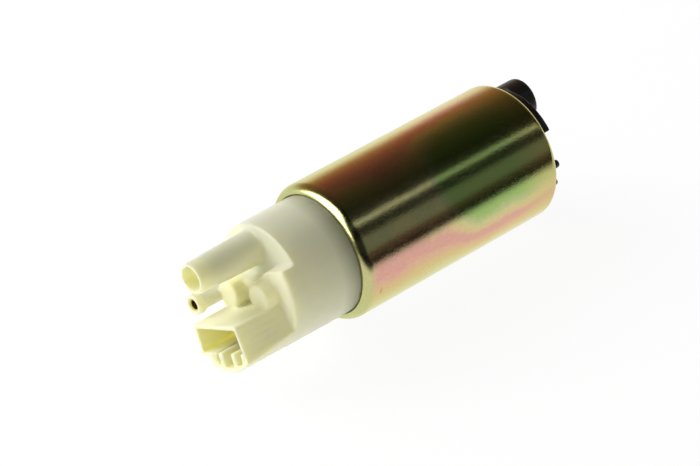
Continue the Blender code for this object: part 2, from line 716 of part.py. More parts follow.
def make_outlet_cap():
    cap = turned("outlet_cap", drum_profile(), LARGE_SIDES, "cream_acetal")
    far = CAN_RADIUS
    recess = [(-RECESS_HALF_WIDTH, RECESS_Y), (RECESS_HALF_WIDTH, RECESS_Y), (STEP_HALF_WIDTH, STEP_Y)]
    side_y = STEP_Y + STEP_RUN_OUT
    recess += [(far, side_y), (far, far), (-far, far), (-far, side_y), (-STEP_HALF_WIDTH, STEP_Y)]
    cut(cap, plate("crescent", [recess], CRESCENT_Z, PLATFORM_Z + REACH))
    spigot_at = (SPIGOT_X, SPIGOT_Y)
    join(cap, turned("spigot", spigot_profile(), MIDDLE_SIDES, at=spigot_at))
    for i, spot in enumerate(BOSS_PLACES):
        join(cap, turned(f"boss_{i + 1}", boss_profile(), MIDDLE_SIDES, at=spot))
    nipple_at = (NIPPLE_X, NIPPLE_Y)
    join(cap, turned("nipple", nipple_profile(), SMALL_SIDES, at=nipple_at))
    shroud_foot = PLATFORM_Z - DRUM_EDGE - OVERLAP
    join(cap, shroud("shroud", SHROUD_EDGE, 0.0, shroud_foot, SHROUD_Z))
    cut(cap, shroud("socket", 0.0, SHROUD_WALL, SOCKET_FLOOR_Z, SHROUD_Z + OVERLAP))
    join(cap, *socket_keys())
    cut(cap, *brush_gear_cutters())
    low = CEILING_Z - REACH
    cut(cap, stepped_hole("spigot_bore", SPIGOT_BORE, OUTLET_PASSAGE, VALVE_SEAT_Z,
                          low, SPIGOT_TIP_Z + REACH, spigot_at))
    cut(cap, stepped_hole("nipple_bore", NIPPLE_BORE, RELIEF_PASSAGE, RELIEF_SEAT_Z,
                          low, NIPPLE_TIP_Z + REACH, nipple_at))
    bush_top = UPPER_BUSH_Z + BUSH_LENGTH + GAP
    cut(cap, stepped_hole("upper_bush_pocket", SHAFT_RADIUS + RUNNING_GAP, BUSH_RADIUS + GAP,
                          bush_top, low, SHAFT_TOP_Z + RUNNING_GAP))
    smooth(cap)


def make_check_valve():
    at = (SPIGOT_X, SPIGOT_Y)
    head_radius = SPIGOT_BORE - RUNNING_GAP
    cone_radius = OUTLET_PASSAGE - GAP
    head_z = VALVE_SEAT_Z + GAP
    stem_top = GUIDE_Z + GUIDE_THICKNESS / 2
    poppet = [(0.0, stem_top), (STEM_RADIUS, stem_top), (STEM_RADIUS, head_z + POPPET_HEAD)]
    poppet += [(head_radius, head_z + POPPET_HEAD), (head_radius, head_z), (cone_radius, head_z)]
    poppet += [(STEM_RADIUS, head_z - POPPET_CONE), (0.0, head_z - POPPET_CONE)]
    turned("check_valve_poppet", poppet, SMALL_SIDES, "rubber", at=at)
    spring_radius = (head_radius + STEM_RADIUS) / 2
    helix("check_valve_spring", spring_radius, SPRING_WIRE, head_z + POPPET_HEAD + GAP,
          GUIDE_Z - GAP, CHECK_SPRING_TURNS, "steel", at)
    disc = tube_profile(SPIGOT_BORE - FIT_GAP, STEM_RADIUS + GAP, GUIDE_Z, GUIDE_Z + GUIDE_THICKNESS)
    guide = turned("check_valve_guide", disc, SMALL_SIDES, "nylon", closed=True, at=at)
    pitch = (STEM_RADIUS + SPIGOT_BORE) / 2
    for i in range(GUIDE_HOLES):
        spot = polar(pitch, 360.0 * (i + 0.5) / GUIDE_HOLES, at)
        cut(guide, hole(f"guide_hole_{i + 1}", GUIDE_HOLE, GUIDE_Z - REACH,
                        GUIDE_Z + GUIDE_THICKNESS + REACH, TINY_SIDES, spot))
    smooth(guide)


def make_relief_valve():
    at = (NIPPLE_X, NIPPLE_Y)
    ball_z = RELIEF_SEAT_Z + math.sqrt(RELIEF_BALL ** 2 - RELIEF_PASSAGE ** 2) + GAP
    ball("relief_ball", RELIEF_BALL, (*at, ball_z), "steel")
    sleeve_top = NIPPLE_TIP_Z - SLEEVE_RECESS
    sleeve_bottom = sleeve_top - SLEEVE_LENGTH
    sleeve = tube_profile(NIPPLE_BORE - FIT_GAP, SLEEVE_BORE, sleeve_bottom, sleeve_top)
    turned("relief_sleeve", sleeve, SMALL_SIDES, "brass", closed=True, at=at)
    spring_radius = (SLEEVE_BORE + NIPPLE_BORE) / 2 - FIT_GAP
    helix("relief_spring", spring_radius, SPRING_WIRE, ball_z + RELIEF_BALL + GAP,
          sleeve_bottom - GAP, RELIEF_SPRING_TURNS, "steel", at)


def make_terminals_and_chokes():
    half = TERMINAL_WIDTH / 2
    foot_z = CHOKE_TOP_Z - TERMINAL_TAIL
    shoulder_z = TERMINAL_TIP_Z - TERMINAL_TAPER
    tip = half - TERMINAL_TAPER / 2
    blade = [(-half, foot_z), (half, foot_z), (half, shoulder_z), (tip, TERMINAL_TIP_Z)]
    blade += [(-tip, TERMINAL_TIP_Z), (-half, shoulder_z)]
    core_top = foot_z - GAP
    core_bottom = core_top - CHOKE_LENGTH
    for i, side in enumerate((1.0, -1.0), start=1):
        at = (side * TERMINAL_X, TERMINAL_Y)
        terminal = plate(f"terminal_{i}", [blade], -TERMINAL_THICKNESS / 2, TERMINAL_THICKNESS / 2, "brass")
        terminal.rotation_euler.x = math.radians(90.0)
        terminal.location = (at[0], at[1], 0.0)
        cylinder(f"choke_core_{i}", CHOKE_CORE, core_bottom, core_top, SMALL_SIDES, "ferrite", at)
        helix(f"choke_coil_{i}", CHOKE_COIL, CHOKE_WIRE, core_bottom + CHOKE_WIRE,
              core_top - CHOKE_WIRE, CHOKE_TURNS, "copper", at, resolution=1)
        make_brush(i, side, core_bottom)


def make_brush(number, side, choke_bottom):
    """A carbon brush with the spring behind it and the lead from its flank to the choke."""
    x = side * BRUSH_X
    middle = (BRUSH_FACE_Z + BRUSH_TOP_Z) / 2
    brush = block(f"brush_{number}", (x, 0.0, middle), (BRUSH_SIDE, BRUSH_SIDE, BRUSH_LENGTH), "carbon")
    nub = cylinder(f"brush_nub_{number}", BRUSH_NUB_RADIUS, BRUSH_TOP_Z - OVERLAP,
                   BRUSH_TOP_Z + BRUSH_NUB, TINY_SIDES, at=(x, 0.0))
    smooth(join(brush, nub))
    helix(f"brush_spring_{number}", BRUSH_SPRING_RADIUS, SPRING_WIRE, BRUSH_TOP_Z + GAP,
          WELL_TOP_Z - GAP, BRUSH_SPRING_TURNS, "steel", (x, 0.0))
    start_z = CEILING_Z + LEAD_DROP
    end_z = choke_bottom - GAP - LEAD_RADIUS
    start = (x, LEAD_START_Y)
    end = (side * TERMINAL_X, TERMINAL_Y)
    points = []
    for i in range(LEAD_STEPS + 1):
        share = i / LEAD_STEPS
        points.append((
            start[0] + (end[0] - start[0]) * share,
            start[1] + (end[1] - start[1]) * share,
            start_z + (end_z - start_z) * share + LEAD_RADIUS * math.sin(math.pi * share),
        ))
    wire(f"brush_lead_{number}", points, LEAD_RADIUS, "copper", 1)


def slot_outline(clearance, mouth):
    """One winding slot along +x: its full outline with its mouth, or the bar that fills it."""
    foot = SLOT_FOOT_RADIUS + clearance
    shoulder = SLOT_SHOULDER_RADIUS - clearance
    half_foot = SLOT_FOOT - clearance
    half_shoulder = SLOT_SHOULDER - clearance
    if not mouth:
        lower = [(foot, -half_foot), (shoulder, -half_shoulder)]
        return lower + [(x, -y) for x, y in reversed(lower)]
    rim = math.sqrt(CORE_RADIUS ** 2 - SLOT_MOUTH ** 2)
    lower = [(rim, -SLOT_MOUTH), (SLOT_MOUTH_RADIUS, -SLOT_MOUTH), (shoulder, -half_shoulder)]
    lower.append((foot, -half_foot))
    return lower + [(x, -y) for x, y in reversed(lower)]


def turn_outline(outline, angle_deg):
    c, s = math.cos(math.radians(angle_deg)), math.sin(math.radians(angle_deg))
    return [(x * c - y * s, x * s + y * c) for x, y in outline]


def core_outline():
    """Lamination outline: round-faced teeth with a winding slot between each two."""
    pitch = 360.0 / CORE_SLOTS
    mouth_deg = math.degrees(math.asin(SLOT_MOUTH / CORE_RADIUS))
    outline = []
    for i in range(CORE_SLOTS):
        outline += turn_outline(slot_outline(0.0, True), pitch * i)
        face = arc(CORE_RADIUS, pitch * i + mouth_deg, pitch * (i + 1) - mouth_deg, LARGE_SIDES)
        outline += face[1:-1]
    return outline


def winding_head(bottom, top):
    """Closed profile of a ring of end turns, rounded at the end that faces away from the core."""
    outer, inner = SLOT_MOUTH_RADIUS, SLOT_FOOT_RADIUS - GAP
    profile = [(outer - HEAD_EDGE, top), (outer, top - HEAD_EDGE), (outer, bottom + HEAD_EDGE / 2)]
    profile += [(outer - HEAD_EDGE / 2, bottom), (inner, bottom), (inner, top - HEAD_EDGE / 2)]
    profile += [(inner + HEAD_EDGE / 2, top)]
    return profile


def make_armature():
    profile = rod_profile(SHAFT_RADIUS, SHAFT_BOTTOM_Z, SHAFT_TOP_Z, SHAFT_EDGE)
    shaft = turned("shaft", profile, SMALL_SIDES, "steel")
    flat_top = RING_TOP_Z + GAP
    flat_low = SHAFT_BOTTOM_Z - REACH
    flat_centre = (SHAFT_FLAT + SHAFT_RADIUS, 0.0, (flat_top + flat_low) / 2)
    flat_size = (2 * SHAFT_RADIUS, 4 * SHAFT_RADIUS, flat_top - flat_low)
    smooth(cut(shaft, block("shaft_flat", flat_centre, flat_size)))

    core = plate("armature_core", [core_outline()], CORE_BOTTOM_Z, CORE_TOP_Z, "laminations")
    bore_radius = SHAFT_RADIUS + GAP
    bore = hole("core_bore", bore_radius, CORE_BOTTOM_Z - REACH, CORE_TOP_Z + REACH, SMALL_SIDES)
    smooth(cut(core, bore))

    upper = (CORE_TOP_Z + GAP, CORE_TOP_Z + GAP + HEAD_HEIGHT)
    lower = (CORE_BOTTOM_Z - GAP - HEAD_HEIGHT, CORE_BOTTOM_Z - GAP)
    windings = turned("windings", winding_head(*upper), MIDDLE_SIDES, "copper", closed=True)
    low_head = mirrored(winding_head(*lower), sum(lower) / 2)
    bar = slot_outline(GAP, False)
    bars = [turn_outline(bar, 360.0 * i / CORE_SLOTS) for i in range(CORE_SLOTS)]
    join(windings, plate("slot_bars", bars, lower[1] - OVERLAP, upper[0] + OVERLAP))
    smooth(join(windings, turned("lower_head", low_head, MIDDLE_SIDES, closed=True)))

    profile = [(COMMUTATOR_RADIUS, COMMUTATOR_Z), (COMMUTATOR_RADIUS, COMMUTATOR_Z - COMMUTATOR_HEIGHT / 2)]
    profile += [(COMMUTATOR_HUB, COMMUTATOR_FOOT_Z), (bore_radius, COMMUTATOR_FOOT_Z)]
    profile += [(bore_radius, COMMUTATOR_Z)]
    commutator = turned("commutator", profile, MIDDLE_SIDES, "copper", closed=True)
    for i in range(CORE_SLOTS // 2):
        centre = (0.0, 0.0, COMMUTATOR_Z + (REACH - COMMUTATOR_SLOT_DEPTH) / 2)
        size = (4 * COMMUTATOR_RADIUS, COMMUTATOR_SLOT, REACH + COMMUTATOR_SLOT_DEPTH)
        turn = 180.0 * (2 * i + 1) / CORE_SLOTS
        cut(commutator, block(f"segment_slot_{i + 1}", centre, size, turn_deg=turn))
    smooth(commutator)

    washer_z = COMMUTATOR_Z + GAP
    washer = tube_profile(WASHER_RADIUS, bore_radius, washer_z, washer_z + WASHER_THICKNESS)
    turned("thrust_washer", washer, SMALL_SIDES, "nylon", closed=True)


def make_bushes_and_ball():
    for name, bottom in (("upper_bush", UPPER_BUSH_Z), ("lower_bush", LOWER_BUSH_TOP_Z - BUSH_LENGTH)):
        profile = tube_profile(BUSH_RADIUS, SHAFT_RADIUS + FIT_GAP, bottom, bottom + BUSH_LENGTH, BUSH_EDGE)
        turned(name, profile, SMALL_SIDES, "bronze", closed=True)
    ball("thrust_ball", THRUST_BALL, (0.0, 0.0, BALL_Z), "steel")


def make_magnets_and_clips():
    outer, inner = INNER_RADIUS, INNER_RADIUS - MAGNET_THICKNESS
    half = MAGNET_SPAN_DEG / 2
    for i, side in enumerate((90.0, -90.0), start=1):
        facing = OUTLET_PORT_DEG + side
        outline = arc(outer, facing - half, facing + half, LARGE_SIDES)
        outline += arc(inner, facing + half, facing - half, LARGE_SIDES)
        smooth(plate(f"magnet_{i}", [outline], MAGNET_BOTTOM_Z, MAGNET_TOP_Z, "ferrite"))
    # each clip spans the space between the magnets, with a leg along each magnet's flank, and one of
    # the two spaces stands over the outlet port
    low, high = MAGNET_BOTTOM_Z + CLIP_SETBACK, MAGNET_TOP_Z - CLIP_SETBACK
    wide = 90.0 - half - math.degrees(GAP / inner)
    narrow = wide - math.degrees(CLIP_THICKNESS / inner)
    foot = outer - CLIP_LEG
    for i, side in enumerate((0.0, 180.0), start=1):
        facing = OUTLET_PORT_DEG + side
        outline = arc(outer, facing - wide, facing + wide, LARGE_SIDES)
        outline += [polar(foot, facing + wide), polar(foot, facing + narrow)]
        outline += arc(outer - CLIP_THICKNESS, facing + narrow, facing - narrow, LARGE_SIDES)
        outline += [polar(foot, facing - narrow), polar(foot, facing - wide)]
        smooth(plate(f"magnet_clip_{i}", [outline], low, high, "steel"))


def channel_outline():
    """The side channel that the vanes sweep, open for most of a turn."""
    outline = arc(CHANNEL_OUTER, CHANNEL_START_DEG, CHANNEL_END_DEG, MIDDLE_SIDES)
    return outline + arc(CHANNEL_INNER, CHANNEL_END_DEG, CHANNEL_START_DEG, SMALL_SIDES)


def port(name, angle_deg, bottom, top):
    """Cutter for a round port between a side channel and the space behind it."""
    return hole(name, PORT_RADIUS, bottom, top, SMALL_SIDES, polar(PORT_PITCH, angle_deg))


def make_pump_section():
    profile = rod_profile(INNER_RADIUS, BODY_BOTTOM_Z, BODY_TOP_Z, BODY_EDGE)
    body = turned("pump_body", profile, LARGE_SIDES, "grey_plastic")
    bush_low = LOWER_BUSH_TOP_Z - BUSH_LENGTH - GAP
    cut(body, stepped_hole("lower_bush_pocket", BUSH_RADIUS + GAP, SHAFT_RADIUS + RUNNING_GAP, bush_low,
                           BODY_BOTTOM_Z - REACH, BODY_TOP_Z + REACH))
    low = BODY_BOTTOM_Z - REACH
    cut(body, plate("body_channel", [channel_outline()], low, BODY_BOTTOM_Z + CHANNEL_DEPTH))
    smooth(cut(body, port("outlet_port", OUTLET_PORT_DEG, low, BODY_TOP_Z + REACH)))

    ring = tube_profile(INNER_RADIUS, IMPELLER_RADIUS + RUNNING_GAP, RING_BOTTOM_Z, RING_TOP_Z)
    turned("pump_ring", ring, LARGE_SIDES, "grey_plastic", closed=True)


def make_impeller():
    """Impeller with straight vanes on both sides of a thin web."""
    top, bottom = RING_TOP_Z, RING_BOTTOM_Z
    middle = (top + bottom) / 2
    pitch = 360.0 / VANE_COUNT
    half_vane = math.degrees(VANE_THICKNESS / IMPELLER_RADIUS) / 2
    half_root = math.degrees(VANE_THICKNESS / VANE_ROOT_RADIUS) / 2
    star = []
    for i in range(VANE_COUNT):
        facing = pitch * i
        star.append(polar(VANE_ROOT_RADIUS, facing - half_root))
        star.append(polar(IMPELLER_RADIUS, facing - half_vane))
        star.append(polar(IMPELLER_RADIUS, facing + half_vane))
        star.append(polar(VANE_ROOT_RADIUS, facing + half_root))
    impeller = plate("impeller", [star], bottom, top, "black_plastic")
    half_web = WEB_THICKNESS / 2
    web_radius = IMPELLER_RADIUS - FIT_GAP
    join(impeller, hole("impeller_web", web_radius, middle - half_web, middle + half_web, LARGE_SIDES))
    flat = SHAFT_FLAT + GAP
    radius = SHAFT_RADIUS + GAP
    half = math.degrees(math.acos(flat / radius))
    bore = arc(radius, half, 360.0 - half, SMALL_SIDES)
    smooth(cut(impeller, plate("impeller_bore", [bore], bottom - REACH, top + REACH)))


def make_inlet_cover():
    shoulder = mirrored(rolled_edge(INLET_ROLL, CAN_WALL + GAP, COVER_RADIUS), -CAN_LENGTH / 2)
    profile = [(0.0, COVER_FACE_Z), (INNER_RADIUS - BODY_EDGE, COVER_FACE_Z)]
    profile.append((INNER_RADIUS, COVER_FACE_Z - BODY_EDGE))
    profile += seal_groove(COVER_FACE_Z - COVER_SEAL_DEPTH) + shoulder
    profile += [(COVER_RADIUS, PAD_Z), (0.0, PAD_Z)]
    cover = turned("inlet_cover", profile, LARGE_SIDES, "black_plastic")
    far = CAN_RADIUS
    low_side = [(-far, -far), (far, -far), (far, PAD_Y), (-far, PAD_Y)]
    cut(cover, plate("cover_low_side", [low_side], PAD_Z - REACH, COVER_LOW_Z))
    neck_at = (NECK_X, NECK_Y)
    root_z = COVER_LOW_Z + OVERLAP
    neck = [(0.0, root_z), (NECK_RADIUS, root_z), (NECK_RADIUS, NECK_END_Z + NECK_EDGE)]
    neck += [(NECK_RADIUS - NECK_EDGE, NECK_END_Z), (0.0, NECK_END_Z)]
    join(cover, turned("neck", neck, MIDDLE_SIDES, at=neck_at))
    for i, angle_deg in enumerate(PEG_ANGLES_DEG):
        spot = polar(PEG_PITCH, angle_deg)
        join(cover, cylinder(f"peg_{i + 1}", PEG_RADIUS, PAD_Z, root_z, SMALL_SIDES, at=spot))
    floor = COVER_FACE_Z - CHANNEL_DEPTH - NECK_FLOOR
    above = COVER_FACE_Z + REACH
    cut(cover, hole("neck_bore", NECK_BORE, NECK_END_Z - REACH, floor, MIDDLE_SIDES, neck_at))
    cut(cover, plate("cover_channel", [channel_outline()], COVER_FACE_Z - CHANNEL_DEPTH, above))
    cut(cover, port("inlet_port", INLET_PORT_DEG, floor - OVERLAP, above))
    pocket_radius = max(SHAFT_RADIUS, THRUST_BALL) + GAP
    pocket_floor = BALL_Z - THRUST_BALL - GAP
    smooth(cut(cover, hole("ball_pocket", pocket_radius, pocket_floor, above, SMALL_SIDES)))


def make_seals():
    seal_ring("cap_seal", INNER_RADIUS - SEAL_WIRE, -CAP_SEAL_DEPTH)
    seal_ring("cover_seal", INNER_RADIUS - SEAL_WIRE, COVER_FACE_Z - COVER_SEAL_DEPTH)


make_can()
make_outlet_cap()
make_check_valve()
make_relief_valve()
make_terminals_and_chokes()
make_armature()
make_bushes_and_ball()
make_magnets_and_clips()
make_pump_section()
make_impeller()
make_inlet_cover()
make_seals()
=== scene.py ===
# Looks of an in-tank electric fuel pump that lies on its can on a white table.
#
# Lengths are in metres. The shaft runs along X, with the fuel outlet at the -X end.
import json
import math

import bmesh
import bpy
from mathutils import Matrix, Vector


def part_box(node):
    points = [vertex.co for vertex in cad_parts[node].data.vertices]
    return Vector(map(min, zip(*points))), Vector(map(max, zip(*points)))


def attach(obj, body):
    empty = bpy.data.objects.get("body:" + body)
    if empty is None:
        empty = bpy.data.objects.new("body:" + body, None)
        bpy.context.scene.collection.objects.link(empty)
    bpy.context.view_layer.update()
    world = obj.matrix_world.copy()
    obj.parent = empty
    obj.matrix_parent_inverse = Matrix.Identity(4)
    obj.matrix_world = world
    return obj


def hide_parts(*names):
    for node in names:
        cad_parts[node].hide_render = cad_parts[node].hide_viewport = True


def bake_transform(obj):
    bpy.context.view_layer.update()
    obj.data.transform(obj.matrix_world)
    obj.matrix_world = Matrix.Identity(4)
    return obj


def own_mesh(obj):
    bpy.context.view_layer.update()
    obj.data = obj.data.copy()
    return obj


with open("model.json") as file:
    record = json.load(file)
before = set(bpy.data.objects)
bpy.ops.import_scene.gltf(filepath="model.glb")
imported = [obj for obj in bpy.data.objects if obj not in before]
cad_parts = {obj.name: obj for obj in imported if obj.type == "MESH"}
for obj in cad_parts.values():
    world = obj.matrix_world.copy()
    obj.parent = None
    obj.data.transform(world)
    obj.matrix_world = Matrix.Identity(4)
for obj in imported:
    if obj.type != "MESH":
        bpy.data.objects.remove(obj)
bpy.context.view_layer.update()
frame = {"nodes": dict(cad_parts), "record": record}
nodes = frame["nodes"]

# Camera, as fitted to the photograph
CAMERA_AZIMUTH_DEG = -42.3
CAMERA_ELEVATION_DEG = 37.2
CAMERA_DISTANCE = 0.8079
CAMERA_LENS = 163.4
VIEW_RIGHT = 0.00832          # the view's middle lies this far right of and above the can's lip
VIEW_UP = 0.00557

# The can: a drawn steel tube whose ends are rolled in
CAN_WALL = 0.0014
OUTLET_ROLL = 0.0028
INLET_ROLL = 0.0023
LIP_RADIUS = 0.0167
CAN_TURN_STEPS = 160
ROLL_STEPS = 12

# Mouldings
CAP_VOXEL = 0.00025
COVER_VOXEL = 0.00028
WELD_DISTANCE = 0.000001
MOULD_SOFTENING = 0.5
MOULD_SMOOTHING = 18
MOULD_KEEP = 0.36             # share of the remeshed triangles that is kept
DRUM_RADIUS = 0.0165          # the cap's drum at the can's lip, whose flats are made truly round
DRUM_DRAFT = 0.0001
DRUM_LENGTH = 0.0213
# the cap's skin is moved wholly within the first distance of that cone, and not beyond the second
NEAR_DRUM, OFF_DRUM = 0.00006, 0.00016

# Thin walls are painted yellower and brighter than the thick drum, a painted glow of light through
# them: between these two places the tone changes
DRUM_END = -0.0395
SPOUT_START = -0.0430
COLLAR_START, COLLAR_END = -0.0255, -0.0210     # and the drum is painted darker where it enters the can: painted shade between the drum and the can's lip
COLLAR_PAINTED_SHADE = (0.62, 0.62, 0.57)

# Springs: the joint that each one follows and how far its free end travels.
SPRINGS = {
    "brush_spring_1": ("brush_slide_1", 0.0025),
    "brush_spring_2": ("brush_slide_2", 0.0025),
    "check_valve_spring": ("check_valve_lift", 0.0025),
    "relief_spring": ("relief_valve_lift", 0.0012),
}

# Brush leads: the brush's body that each one is fixed in, and the points on the lead where it
# leaves the cap and where it enters the brush.
LEADS = {
    "brush_lead_1": ("brush_a", (-0.0119, -0.0082, -0.0050), (-0.0099, -0.0073, 0.0006)),
    "brush_lead_2": ("brush_b", (-0.0119, -0.0002, -0.0097), (-0.0101, 0.0043, -0.0061)),
}

# Tinted skin of the zinc plating, in bands along the can
BAND_MIDDLE_DEG = 45.8        # the bands lie evenly about this line, up from the front
BAND_START, BAND_END = 0.008, 0.019       # the bands widen between these two places along the can
BAND_NARROW, BAND_WIDE = 0.95, 1.30
BAND_LEAN = 0.09              # and reach further over the back
BAND_RANGE = 1.4
GOLD_START, GOLD_END = 0.034, 0.043       # the last part of the can is gold again
GOLD_SHARE = 0.6
ROLL_START, ROLL_END = -0.0186, -0.0164   # the rolled edge is gold as well
ROLL_GOLD = (0.56, 0.58, 0.25)
ROLL_SHARE = 0.85
BAND_STOPS = (
    (0.00, (0.80, 0.82, 0.52)),
    (0.05, (0.78, 0.78, 0.50)),
    (0.16, (0.62, 0.665, 0.38)),
    (0.27, (0.64, 0.65, 0.33)),
    (0.41, (0.68, 0.59, 0.27)),
    (0.50, (0.70, 0.53, 0.25)),
    (0.62, (0.72, 0.45, 0.30)),
    (0.69, (0.71, 0.38, 0.31)),
    (0.78, (0.69, 0.39, 0.31)),
    (0.85, (0.70, 0.52, 0.29)),
    (0.92, (0.62, 0.58, 0.27)),
    (1.00, (0.48, 0.52, 0.25)),
    (1.08, (0.34, 0.50, 0.16)),
    (1.40, (0.36, 0.49, 0.16)),
)
GOLD = (0.64, 0.53, 0.22)
GRAZING_TINT = (1.0, 0.97, 0.78)          # the skin keeps some colour where it is seen edge-on
SCUFF_AT = (-0.0152, -0.01863, -0.0033)
SCUFF_SIZE = (0.00060, 0.0012, 0.0014)
SCUFF_BROWN = (0.50, 0.34, 0.18)
SCUFF_RAGGED_SCALE, SCUFF_RAGGED = 1800.0, 0.8
SCUFF_SHARE = 0.8
DRIFT_SCALE = 70.0            # slow wander of the bands and of the rolled edge's gold
BAND_DRIFT = 0.24
ROLL_DRIFT = 0.0030
BLOTCH_SCALE, BLOTCH_DRIFT = 420.0, 0.10
SPECKLE_SCALE = 2600.0        # crystals of the zinc
SPECKLE_STOPS = ((0.36, (0.90, 0.89, 0.86)), (0.62, (1.0, 1.0, 1.0)))
SPECK_START, SPECK_END = 0.50, 0.66
SPECK_ROUGHNESS = 0.10
DULL_SCALE = 160.0            # patches that shine a little less
DULL_RANGE, SHEEN_LEAST = 0.12, 0.08
PEEL_SCALE, PEEL_DEPTH = 2400.0, 0.000022
WAVE_SCALE = 110.0            # the tube is a little out of true, which breaks up its highlights
WAVE_DEPTH = 0.00004

# Cream acetal
ACETAL_THICK = ((0.3, (0.82, 0.82, 0.63)), (0.7, (0.86, 0.86, 0.67)))
ACETAL_THIN_PAINTED_GLOW = ((0.3, (0.91, 0.88, 0.60)), (0.7, (0.95, 0.92, 0.65)))
ACETAL_CLOUD_SCALE = 90.0
ACETAL_GRAIN_SCALE = 1800.0
ACETAL_ROUGHNESS_RANGE, ACETAL_ROUGHNESS_LEAST = 0.14, 0.34
ACETAL_GRAIN_DEPTH, ACETAL_GRAIN_STRENGTH = 0.00002, 0.25
ACETAL_DEPTH = 0.003          # how far light spreads in it, and how far by colour
ACETAL_SPREAD = (1.0, 0.9, 0.42)
ACETAL_SPREAD_SHARE = 0.75
ACETAL_IOR = 1.48

# Other plastics, rubber, carbon and ferrite
PLASTIC_CLOUD_SCALE = 140.0
PLASTIC_GRAIN_SCALE = 1200.0
PLASTIC_ROUGHNESS_RANGE = 0.16
PLASTIC_GRAIN_DEPTH, PLASTIC_GRAIN_STRENGTH = 0.00003, 0.35

# Bare metals
METAL_MARK_SCALE = 900.0
METAL_ROUGHNESS_RANGE, METAL_ROUGHNESS_DROP = 0.15, 0.07
METAL_MARK_DEPTH, METAL_MARK_STRENGTH = 0.00002, 0.3

# Stage
WHITE = (1.0, 1.0, 1.0)
FLOOR_HALF = 3.0
TABLE_COLOUR = (0.92, 0.92, 0.92)
TABLE_ROUGHNESS = 0.8
TABLE_SPECULAR = 0.1
TABLE_PLAIN = 0.85            # share of plain white where the camera sees the table
TABLE_WHITE = 1.08            # and how bright that is
TABLE_GLOW = 0.75             # light that the table adds for the matt pieces
TABLE_SHADE_START = -0.175    # as metal mirrors it the table falls into shade towards the camera
TABLE_SHADE_END = -0.075
SIDE_SHADE_START = -0.22      # and on the near side also towards the outlet end
SIDE_SHADE_END = -0.08
BEHIND_START, BEHIND_END = 0.0, 0.05      # but not behind the pump
TABLE_SHADE = 0.02
WINDOW_X = -0.45              # metal mirrors a bright window at the outlet end, behind the pump
WINDOW_Y = -0.17
WINDOW_BLUR = 0.2
WINDOW_WHITE = 4.5
FRONT_X, FRONT_BLUR = -0.2, 0.5           # and a dark corner on the camera's side of it
FRONT_DARK = 0.15
OUTLET_LIGHT = 0.25           # added to the sky towards the outlet end
INLET_LIGHT = 0.50            # and towards the inlet end
KEY_LAMP_FROM = (-0.5, 0.7, 0.5)          # a soft lamp behind the pump, unseen in its metal
KEY_LAMP_DISTANCE = 0.9
KEY_LAMP_SIZE = 0.6
KEY_LAMP_POWER = 6.0
# a narrow warm lamp shines on the sides of the spigot and socket
SPOUT_LAMP_AT = (-0.0485, -0.38, 0.20)
SPOUT_LAMP_AIM = (-0.0485, 0.0, -0.001)
SPOUT_LAMP_DEG = 5.0
SPOUT_LAMP_POWER = 2.8
SPOUT_LAMP_COLOUR = (1.0, 0.90, 0.42)
SPOUT_LAMP_SIZE = 0.02
# light on matt pieces by direction: 0 is the horizon on the camera's side, 0.5 overhead and 1 the
# horizon behind the pump
SKY_STOPS = (
    (0.00, (0.10, 0.095, 0.07)),
    (0.50, (0.10, 0.10, 0.09)),
    (1.00, (0.26, 0.26, 0.26)),
)
# the room as metal mirrors it, by the same directions
ROOM_STOPS = (
    (0.000, (0.07, 0.042, 0.042)),
    (0.050, (0.10, 0.075, 0.06)),
    (0.075, (0.20, 0.20, 0.20)),
    (0.185, (0.20, 0.20, 0.20)),
    (0.215, (0.03, 0.03, 0.03)),
    (0.300, (0.03, 0.03, 0.03)),
    (0.310, (0.62, 0.62, 0.62)),
    (0.335, (0.62, 0.62, 0.62)),
    (0.350, (0.03, 0.03, 0.03)),
    (0.455, (0.016, 0.016, 0.01)),
    (0.522, (0.028, 0.027, 0.015)),
    (0.589, (0.045, 0.035, 0.02)),
    (0.656, (0.08, 0.05, 0.03)),
    (0.722, (0.12, 0.075, 0.04)),
    (0.789, (0.19, 0.115, 0.055)),
    (0.856, (0.285, 0.150, 0.075)),
    (0.922, (0.42, 0.27, 0.13)),
    (0.989, (0.80, 0.75, 0.70)),
    (1.000, (1.0, 1.0, 1.0)),
)


def camera_axes():
    azimuth, elevation = math.radians(CAMERA_AZIMUTH_DEG), math.radians(CAMERA_ELEVATION_DEG)
    right = Vector((math.cos(azimuth), math.sin(azimuth), 0.0))
    back = Vector((
        math.sin(azimuth) * math.cos(elevation),
        -math.cos(azimuth) * math.cos(elevation),
        math.sin(elevation),
    ))
    return right, back.cross(right), back


def add_camera():
    right, up, back = camera_axes()
    lip = Vector((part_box("can")[0][0], 0.0, 0.0))
    data = bpy.data.cameras.new("camera")
    data.lens = CAMERA_LENS
    camera = bpy.data.objects.new("camera", data)
    bpy.context.scene.collection.objects.link(camera)
    place = lip + right * VIEW_RIGHT + up * VIEW_UP + back * CAMERA_DISTANCE
    turn = Matrix((right, up, back)).transposed().to_4x4()
    camera.matrix_world = Matrix.Translation(place) @ turn
    bpy.context.scene.camera = camera


